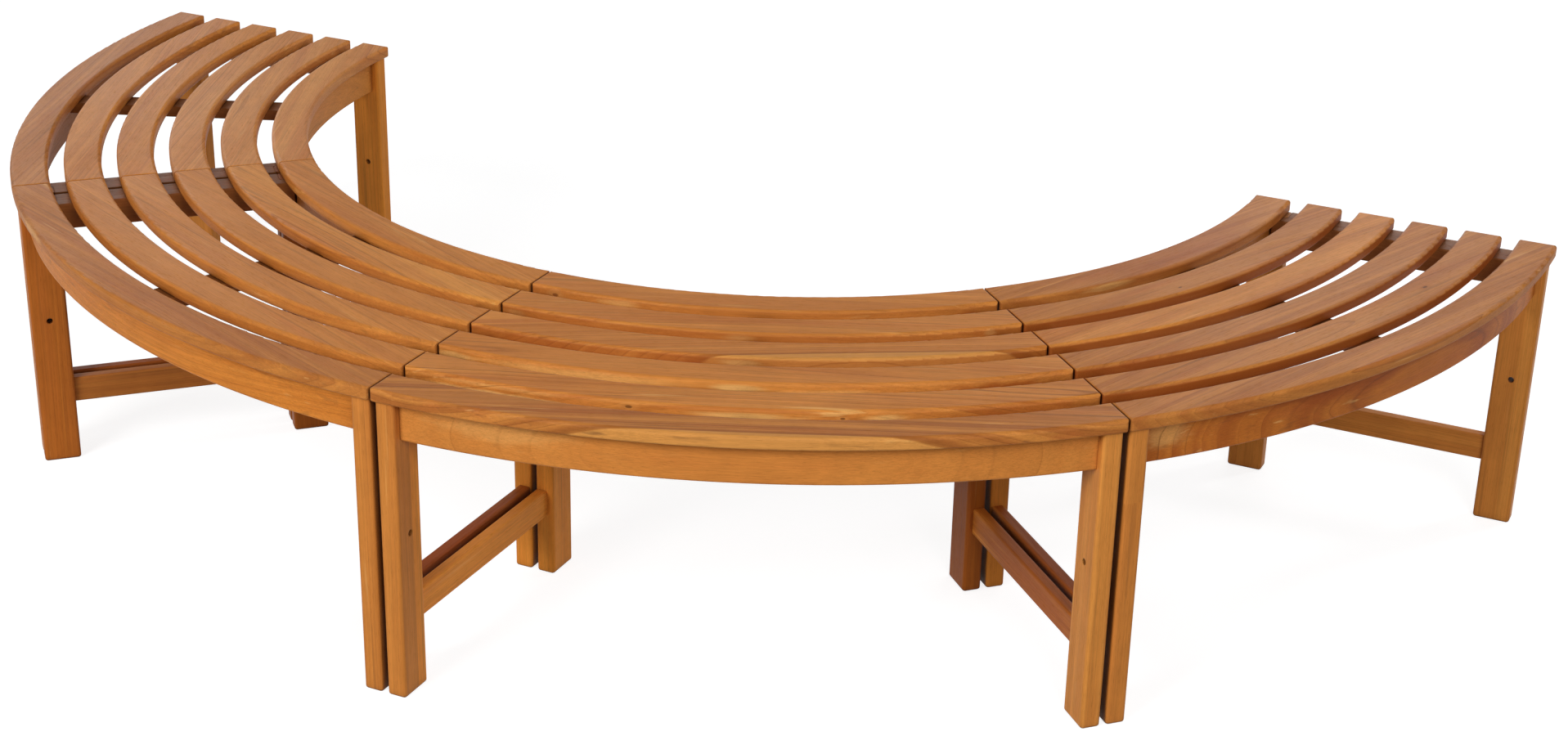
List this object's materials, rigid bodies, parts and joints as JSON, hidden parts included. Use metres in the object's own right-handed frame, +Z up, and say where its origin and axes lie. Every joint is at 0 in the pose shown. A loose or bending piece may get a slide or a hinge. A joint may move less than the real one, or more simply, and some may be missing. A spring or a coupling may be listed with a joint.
{
  "type": "tree bench",
  "caption": "Half-round slatted teak bench that stands round a tree, made of curved free-standing segments set end to end, each on its own legs.",
  "frame": {"origin": "on the ground, under the middle of the bench's bounding box", "axes": "+Z up, +X along the straight side between the two free ends, +Y from the bulging front towards the tree"},
  "size_m": [2.5, 1.2488, 0.448],
  "materials": {
    "teak_slat": "sanded and oiled teak",
    "teak_leg": "sanded and oiled teak",
    "teak_apron": "sanded and oiled teak",
    "teak_rail": "sanded and oiled teak",
    "teak_batten": "sawn and oiled teak",
    "screw": "plain stainless"
  },
  "bodies": {
    "root": {"segment_a_slat_1": "teak_slat", "segment_a_slat_2": "teak_slat", "segment_a_slat_3": "teak_slat", "segment_a_slat_4": "teak_slat", "segment_a_slat_5": "teak_slat", "segment_a_slat_6": "teak_slat", "segment_a_outer_leg_left": "teak_leg", "segment_a_outer_leg_right": "teak_leg", "segment_a_inner_leg_left": "teak_leg", "segment_a_inner_leg_right": "teak_leg", "segment_a_outer_apron": "teak_apron", "segment_a_inner_apron": "teak_apron", "segment_a_end_rails": "teak_rail", "segment_a_slat_battens": "teak_batten", "segment_b_slat_1": "teak_slat", "segment_b_slat_2": "teak_slat", "segment_b_slat_3": "teak_slat", "segment_b_slat_4": "teak_slat", "segment_b_slat_5": "teak_slat", "segment_b_slat_6": "teak_slat", "segment_b_outer_leg_left": "teak_leg", "segment_b_outer_leg_right": "teak_leg", "segment_b_inner_leg_left": "teak_leg", "segment_b_inner_leg_right": "teak_leg", "segment_b_outer_apron": "teak_apron", "segment_b_inner_apron": "teak_apron", "segment_b_end_rails": "teak_rail", "segment_b_slat_battens": "teak_batten", "segment_c_slat_1": "teak_slat", "segment_c_slat_2": "teak_slat", "segment_c_slat_3": "teak_slat", "segment_c_slat_4": "teak_slat", "segment_c_slat_5": "teak_slat", "segment_c_slat_6": "teak_slat", "segment_c_outer_leg_left": "teak_leg", "segment_c_outer_leg_right": "teak_leg", "segment_c_inner_leg_left": "teak_leg", "segment_c_inner_leg_right": "teak_leg", "segment_c_outer_apron": "teak_apron", "segment_c_inner_apron": "teak_apron", "segment_c_end_rails": "teak_rail", "segment_c_slat_battens": "teak_batten", "segment_d_slat_1": "teak_slat", "segment_d_slat_2": "teak_slat", "segment_d_slat_3": "teak_slat", "segment_d_slat_4": "teak_slat", "segment_d_slat_5": "teak_slat", "segment_d_slat_6": "teak_slat", "segment_d_outer_leg_left": "teak_leg", "segment_d_outer_leg_right": "teak_leg", "segment_d_inner_leg_left": "teak_leg", "segment_d_inner_leg_right": "teak_leg", "segment_d_outer_apron": "teak_apron", "segment_d_inner_apron": "teak_apron", "segment_d_end_rails": "teak_rail", "segment_d_slat_battens": "teak_batten", "slat_screws": "screw", "frame_screws": "screw"}
  },
  "joints": []
}
